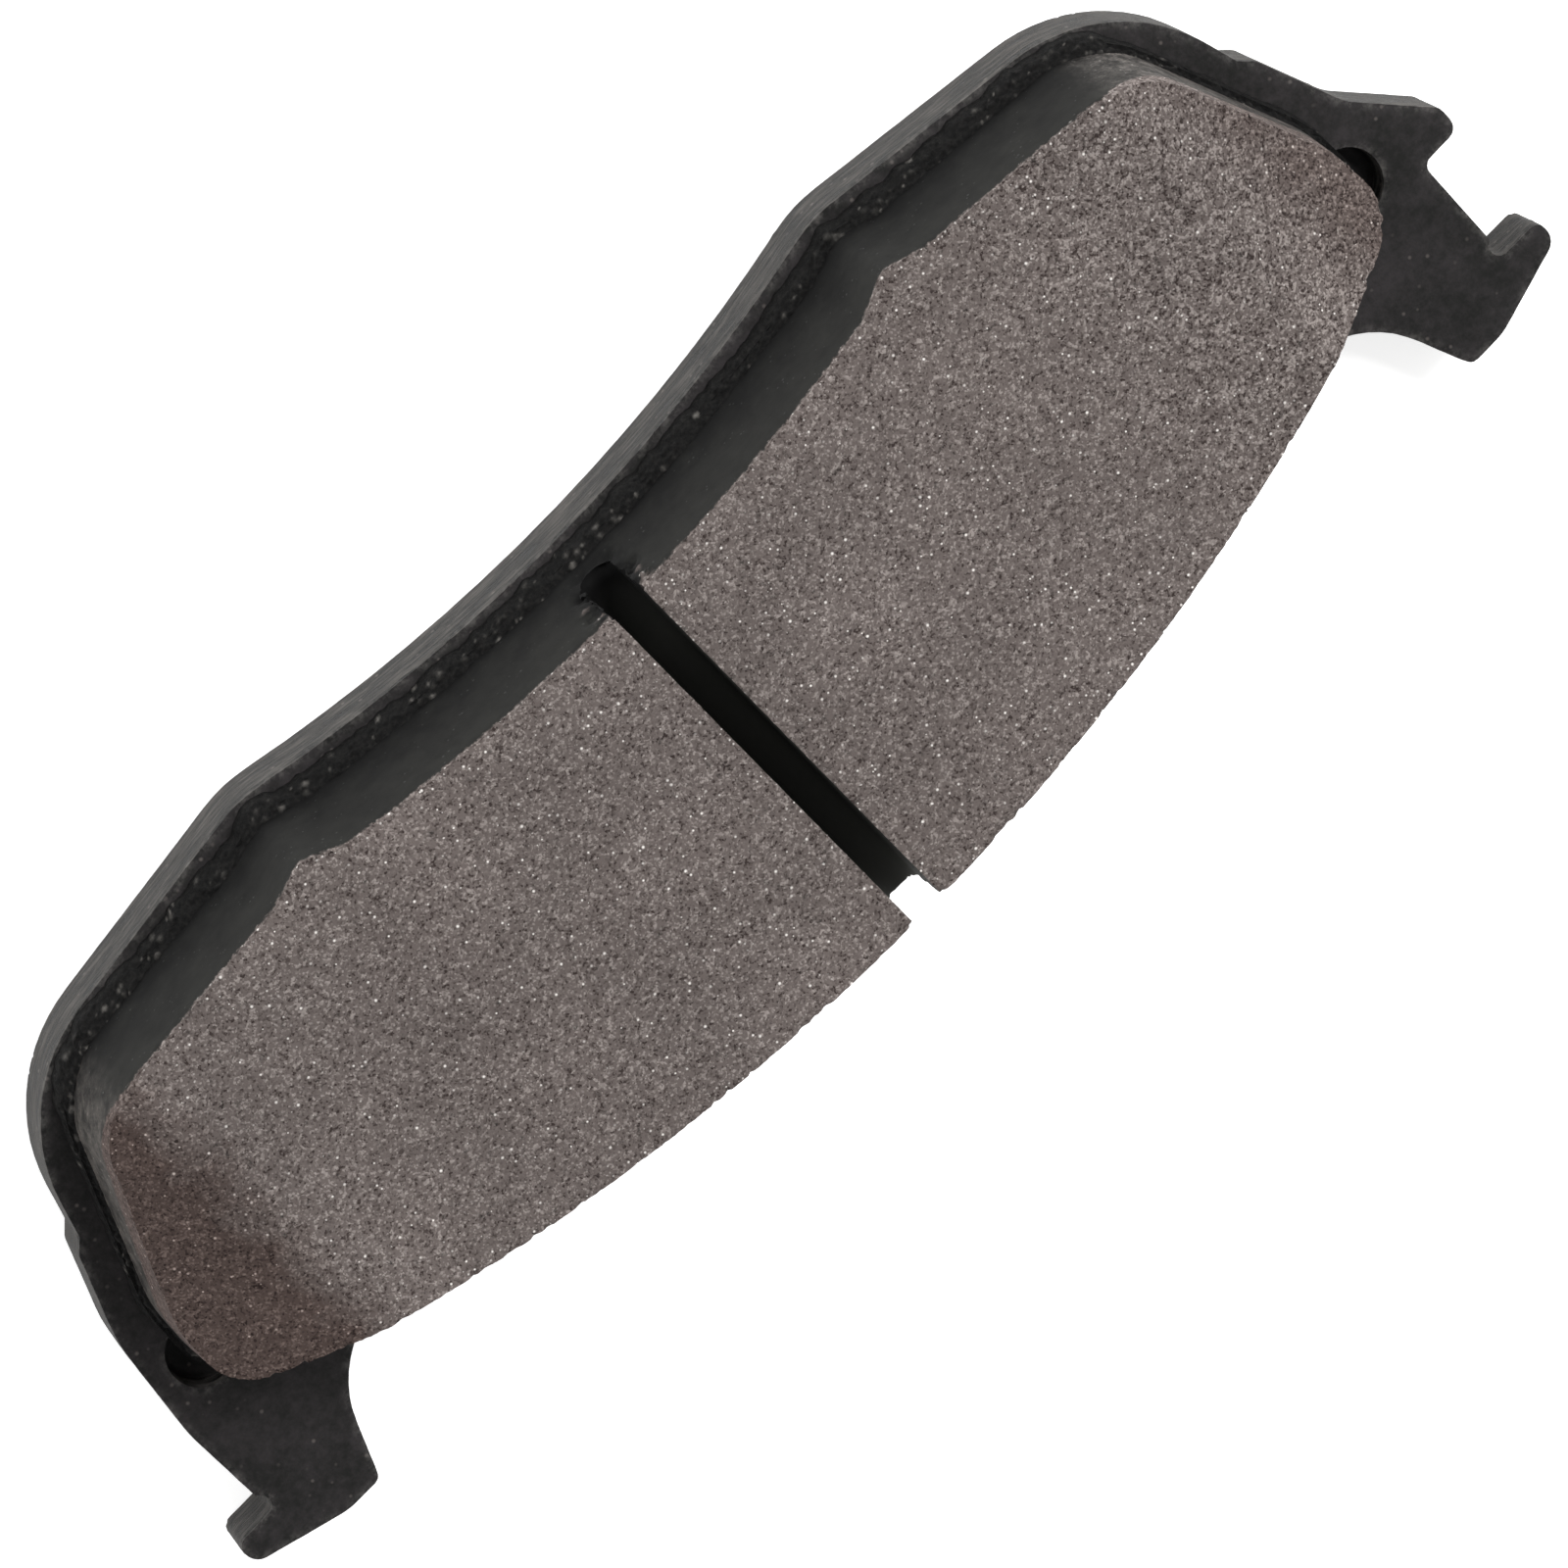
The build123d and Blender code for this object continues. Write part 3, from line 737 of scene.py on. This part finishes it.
# Underlayer squeezed out round the block's foot, with sizes in mm.
beadLook = {
    "spacing": 0.2,         # mesh grid
    "steps": 16,            # from the plate up to the block
    "width": 0.65,          # how far it spreads over the plate beyond the underlayer
    "height": 2.3,          # how far it climbs the block
    "pocketClear": 4.2,     # it stops this far from the middle of a pressed pocket
    "lean": 0.85,           # how far it leans in over the underlayer, against the drafted wall
    "endShare": 0.3,        # little comes out at the block's ends
    "lumps": 0.2,
    "crumbs": 2200,         # grains of compound caught under the spray
    "crumbSize": (0.15, 0.42),
    "crumbHeight": (0.05, 0.22),
    "gritSize": 0.4,
    "colour": "#050505",
    "colourLight": "#1a1918",
    "crumbColour": "#6a6763",
}


def underlayerCompound():
    # Underlayer compound, squeezed out in the mould and sprayed black: gritty and near-black,
    # with a few pale crumbs.
    material, tree, shader, p = newMaterial("underlayerCompoundMoulded")
    grit = addNode(tree, "ShaderNodeTexNoise", None,
                   {"Vector": p, "Scale": 1 / beadLook["gritSize"], "Detail": 5.0, "Roughness": 0.65})
    tone = addNode(tree, "ShaderNodeValToRGB",
                   {"stops": [(0.42, beadLook["colour"]), (0.75, beadLook["colourLight"])]},
                   {"Fac": grit.outputs["Fac"]})
    crumb = addNode(tree, "ShaderNodeAttribute", {"attribute_name": "crumb"})
    crumbShare = addNode(tree, "ShaderNodeMath", {"operation": "MULTIPLY", "use_clamp": True},
                         {0: crumb.outputs["Fac"], 1: grit.outputs["Fac"]})
    colour = addNode(tree, "ShaderNodeMix", {"data_type": "RGBA"},
                     {0: crumbShare.outputs[0], 6: tone.outputs[0],
                      7: toLinear(beadLook["crumbColour"])})
    bump = addNode(tree, "ShaderNodeBump", None,
                   {"Height": grit.outputs["Fac"], "Strength": 0.9, "Distance": 0.18 * mm})
    tree.links.new(colour.outputs[2], shader.inputs["Base Color"])
    tree.links.new(bump.outputs[0], shader.inputs["Normal"])
    shader.inputs["Roughness"].default_value = 0.85
    shader.inputs["IOR"].default_value = 1.5
    shader.inputs["Specular IOR Level"].default_value = 0.16
    return material


def pocketPlaces():
    # middles of the two pressed pockets, from the corners of their floors
    floor = boxInMm("underlayer")[0][2]
    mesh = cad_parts["backing_plate"].data
    inside = boxInMm("backing_plate")[1][2]
    rings = [v.co / mm for v in mesh.vertices if floor + 0.5 < v.co.z / mm < inside - 0.5]
    ends = [[r for r in rings if r.x * side > 0] for side in (1, -1)]
    return [np.array(sum(ring, Vector()) / len(ring)) for ring in ends]


def makeBead(material):
    look = beadLook
    top = boxInMm("underlayer")[1][2]
    floor = boxInMm("bonding_film")[0][2]
    path = evenLoop(boundaryLoop("underlayer", top), look["spacing"])
    ahead = np.roll(path, -2, 0) - np.roll(path, 2, 0)
    outward = np.stack([ahead[:, 1], -ahead[:, 0], np.zeros(len(path))], 1)
    outward /= np.linalg.norm(outward, axis=1)[:, None]
    clear = np.min([np.linalg.norm((path - place)[:, :2], axis=1) for place in pocketPlaces()], axis=0)
    share = np.clip((clear - look["pocketClear"]) / 1.5, 0.02, 1)
    share *= np.clip((0.93 - np.abs(outward[:, 0])) / 0.25, look["endShare"], 1)
    share *= np.clip(0.8 + 0.7 * grainField(path, 2.5, 8.0, 3), 0.1, 1.2)
    steps = look["steps"]
    rows = []
    for k in range(steps):
        t = k / (steps - 1)
        reach = look["width"] * share * (1 - t) ** 1.3 - look["lean"] * t ** 1.2 + 0.04
        row = path + outward * reach[:, None]
        climb = t ** 0.45 * np.clip(0.75 + 0.25 * share, 0, 1)
        row[:, 2] = floor + 0.1 + (look["height"] - 0.1) * climb
        rows.append(row)
    surface = np.vstack(rows)
    lumps = np.abs(grainField(surface, 0.9, 2.0, 3)) * look["lumps"] * 2
    lumps += grainField(surface, 0.45, 6.0) * 0.05
    crumb = np.zeros(len(surface))
    tree = pointTree(surface.tolist())
    spans = (look["crumbSize"], look["crumbHeight"], (0, 1))
    for i in luck.integers(0, len(surface), look["crumbs"]):
        size, height, pale = (luck.uniform(*span) for span in spans)
        if noise.noise(surface[i] / 3.5) < -0.2:        # crumbs lie in groups
            continue
        for _, j, away in tree.find_range(surface[i].tolist(), size):
            lift = (1 - (away / size) ** 2) ** 2
            lumps[j] += height * lift
            crumb[j] = max(crumb[j], lift * pale ** 9 * 1.6)     # most crumbs are dark
    slant = np.repeat(np.linspace(0.15, 0.85, steps), len(path))
    side = np.tile(outward, (steps, 1))
    surface += side * (lumps * slant)[:, None]
    surface[:, 2] += lumps * (1.1 - slant)
    surface[:, 2] = np.maximum(surface[:, 2], floor)
    # the back of the bead, closed inside the block
    inner = path - outward * 1.5
    inner[:, 2] = floor + look["height"]
    foot = inner.copy()
    foot[:, 2] = floor
    outer = rows[0].copy() + outward * 0.05
    outer[:, 2] = floor
    points = np.vstack([surface, inner, foot, outer])
    count = len(path)
    total = steps + 3
    faces = []
    for k in range(total):
        after = (k + 1) % total
        for i in range(count):
            j = (i + 1) % count
            faces.append((k * count + i, k * count + j, after * count + j, after * count + i))
    mesh = bpy.data.meshes.new("mouldFlash")
    mesh.from_pydata((points * mm).tolist(), [], faces)
    mesh.validate()
    mesh.shade_smooth()
    addMarks(mesh, "crumb", np.concatenate([crumb, np.zeros(3 * count)]))
    piece = bpy.data.objects.new("mouldFlash", mesh)
    scene.collection.objects.link(piece)
    mesh.materials.append(material)
    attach(piece, "root")


gritMaterial = underlayerCompound()
makeBead(gritMaterial)
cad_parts["underlayer"].data.materials.clear()
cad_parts["underlayer"].data.materials.append(gritMaterial)
print("underlayer made")


# Shim and the thin layers between: material, colour, roughness and metallic for each CAD node.
layerLook = {
    "shim_outer_rubber": ("nitrileRubberRolled", "#1a1a1b", 0.55, 0.0),
    "shim_inner_rubber": ("nitrileRubberInner", "#1a1a1b", 0.6, 0.0),
    "shim_steel_core": ("steelColdRolled", "#8f9092", 0.38, 1.0),
    "shim_adhesive": ("acrylicFilm", "#8a7a58", 0.5, 0.0),
    "bonding_film": ("phenolicFilmBaked", "#2c221a", 0.6, 0.0),
}


def thinLayer(name, colour, roughness, metallic):
    # Rolled sheet or film: even and quiet, with faint streaks along the rolling direction
    # and a stipple 0.35 mm wide, drawn coarser than the real one so that it shows.
    material, tree, shader, p = newMaterial(name)
    along = addNode(tree, "ShaderNodeVectorMath", {"operation": "MULTIPLY"},
                    {0: p, 1: (0.08, 1.6, 1.0)})
    streak = addNode(tree, "ShaderNodeTexNoise", None,
                     {"Vector": along.outputs[0], "Scale": 1.0, "Detail": 4.0})
    cloud = addNode(tree, "ShaderNodeTexNoise", None,
                    {"Vector": p, "Scale": 1 / 9, "Detail": 5.0, "Roughness": 0.6})
    both = addNode(tree, "ShaderNodeMix", {"data_type": "FLOAT"},
                   {0: 0.75, 2: streak.outputs["Fac"], 3: cloud.outputs["Fac"]})
    pale = [min(1.0, c * 1.6) for c in toLinear(colour)[:3]] + [1.0]
    tone = addNode(tree, "ShaderNodeMix", {"data_type": "RGBA"},
                   {0: both.outputs[0], 6: toLinear(colour), 7: pale})
    gloss = addNode(tree, "ShaderNodeMapRange", None,
                    {"Value": both.outputs[0], "From Min": 0.3, "From Max": 0.7,
                     "To Min": roughness - 0.06, "To Max": roughness + 0.08})
    stipple = addNode(tree, "ShaderNodeTexNoise", None, {"Vector": p, "Scale": 1 / 0.35, "Detail": 3.0})
    bump = addNode(tree, "ShaderNodeBump", None,
                   {"Height": stipple.outputs["Fac"], "Strength": 0.25, "Distance": 0.04 * mm})
    tree.links.new(tone.outputs[2], shader.inputs["Base Color"])
    tree.links.new(gloss.outputs[0], shader.inputs["Roughness"])
    tree.links.new(bump.outputs[0], shader.inputs["Normal"])
    shader.inputs["Metallic"].default_value = metallic
    return material


for nodeName, look in layerLook.items():
    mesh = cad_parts[nodeName].data
    mesh.materials.clear()
    mesh.materials.append(thinLayer(*look))
print("layers made")


# Camera, looking down on the pad from the side of its hollow edge.
cameraPlan = {
    "place": (24.4, -243.0, 578.9),     # mm
    "right": (-0.70040, 0.64293, 0.30998),
    "up": (-0.71274, -0.65309, -0.25588),
    "back": (0.03793, -0.40015, 0.91566),
    "lens": 179.7,                      # mm, for a sensor 36 mm wide
    "sensor": 36.0,
}
lens = bpy.data.cameras.new("camera")
lens.lens = cameraPlan["lens"]
lens.sensor_width = cameraPlan["sensor"]
lens.clip_start = 0.01
camera = bpy.data.objects.new("camera", lens)
scene.collection.objects.link(camera)
turn = Matrix([cameraPlan["right"], cameraPlan["up"], cameraPlan["back"]]).transposed()
camera.matrix_world = Matrix.Translation(Vector(cameraPlan["place"]) * mm) @ turn.to_4x4()
scene.camera = camera

# Studio: an opal light table in a room that is bright low down and dim overhead,
# so that flat black parts stay black.
roomPlan = {
    "floorColour": "#f6f6f5",
    "floorSize": 6.0,                   # m
    "tableGlow": 0.65,                  # lit a little from below, which softens the shadow
    "horizonLight": 1.35,
    "overheadLight": 0.25,
    "lamps": [                          # place, size in m, watts
        ((-0.95, -0.4, 1.15), 0.8, 22.0),
        ((0.5, -1.3, 0.7), 0.9, 8.0),
    ],
}


def makeFloor():
    size = roomPlan["floorSize"] / 2
    mesh = bpy.data.meshes.new("floor")
    level = cadBox[0].z
    corners = [(-size, -size, level), (size, -size, level), (size, size, level), (-size, size, level)]
    mesh.from_pydata(corners, [], [(0, 1, 2, 3)])
    floor = bpy.data.objects.new("floor", mesh)
    scene.collection.objects.link(floor)
    # Opal acrylic sheet, cast and matt: an even white with no reflections.
    material, _, shader, _ = newMaterial("acrylicSheetOpal")
    shader.inputs["Base Color"].default_value = toLinear(roomPlan["floorColour"])
    shader.inputs["Roughness"].default_value = 0.9
    shader.inputs["Emission Color"].default_value = (1, 1, 1, 1)
    shader.inputs["Emission Strength"].default_value = roomPlan["tableGlow"]
    mesh.materials.append(material)


def makeLight():
    world = bpy.data.worlds.new("studio")
    world.use_nodes = True
    tree = world.node_tree
    tree.nodes.clear()
    way = addNode(tree, "ShaderNodeTexCoord")
    height = addNode(tree, "ShaderNodeSeparateXYZ", None, {0: way.outputs["Generated"]})
    light = addNode(tree, "ShaderNodeMapRange", {"interpolation_type": "SMOOTHSTEP"},
                    {"Value": height.outputs[2], "From Min": 0.35, "From Max": 0.8,
                     "To Min": roomPlan["horizonLight"], "To Max": roomPlan["overheadLight"]})
    glow = addNode(tree, "ShaderNodeBackground", None, {"Strength": light.outputs[0]})
    addNode(tree, "ShaderNodeOutputWorld", None, {"Surface": glow.outputs[0]})
    scene.world = world
    for i, (place, size, watts) in enumerate(roomPlan["lamps"]):
        data = bpy.data.lights.new(f"softbox{i}", "AREA")
        data.size = size
        data.energy = watts
        lamp = bpy.data.objects.new(f"softbox{i}", data)
        scene.collection.objects.link(lamp)
        lamp.location = place
        lamp.rotation_mode = "QUATERNION"
        lamp.rotation_quaternion = (-Vector(place)).to_track_quat("-Z", "Y")


makeFloor()
makeLight()
scene.view_settings.view_transform = "Standard"
scene.view_settings.look = "None"
print("studio made")
